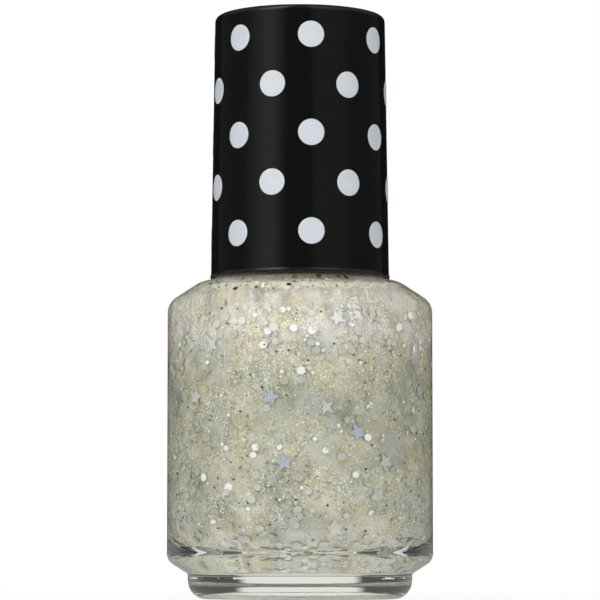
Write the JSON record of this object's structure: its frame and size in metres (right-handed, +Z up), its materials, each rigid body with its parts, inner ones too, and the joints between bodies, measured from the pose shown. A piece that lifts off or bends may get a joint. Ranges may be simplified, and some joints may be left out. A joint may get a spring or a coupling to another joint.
{
  "type": "nail polish bottle",
  "caption": "Round clear glass nail polish bottle of glitter polish, with a tall black polka dot screw cap that carries the brush.",
  "frame": {"origin": "centre of the base, on the surface that the bottle stands on", "axes": "+Z up along the bottle's axis, and the pictured side faces -Y"},
  "size_m": [0.033, 0.033, 0.073],
  "materials": {
    "clear_glass": "clear flint glass, fire polished",
    "glitter_polish": "milky champagne polish with shimmer, hexagons and stars",
    "ball_steel": "polished stainless ball",
    "cap_black": "gloss black moulding",
    "dot_ink": "pale printed ink",
    "inner_black": "natural polypropylene surface, black",
    "seal_foam": "white polyethylene foam",
    "stem_black": "satin moulding",
    "anchor_wire": "flat wire",
    "bristle_nylon": "fine nylon filament"
  },
  "bodies": {
    "bottle": {"glass_bottle": "clear_glass", "polish": "glitter_polish", "mixing_ball_1": "ball_steel", "mixing_ball_2": "ball_steel"},
    "seal": {"sealing_washer": "seal_foam"},
    "cap": {"overcap": "cap_black", "dot_print": "dot_ink", "inner_cap": "inner_black", "brush_stem": "stem_black", "tuft_anchor": "anchor_wire", "bristle_tuft": "bristle_nylon"}
  },
  "joints": [
    {"name": "cap_lift", "type": "slide", "parent": "bottle", "child": "seal", "axis": [0, 0, 1], "range_m": [0, 0.05081]},
    {"name": "cap_turn", "type": "hinge", "parent": "seal", "child": "cap", "pos_m": [0, 0, 0.0535], "axis": [0, 0, 1], "range_deg": [0, 8640]}
  ],
  "couplings": [
    {"joint": "cap_lift", "follows": "cap_turn", "m_per_rad": 0.00033688}
  ]
}
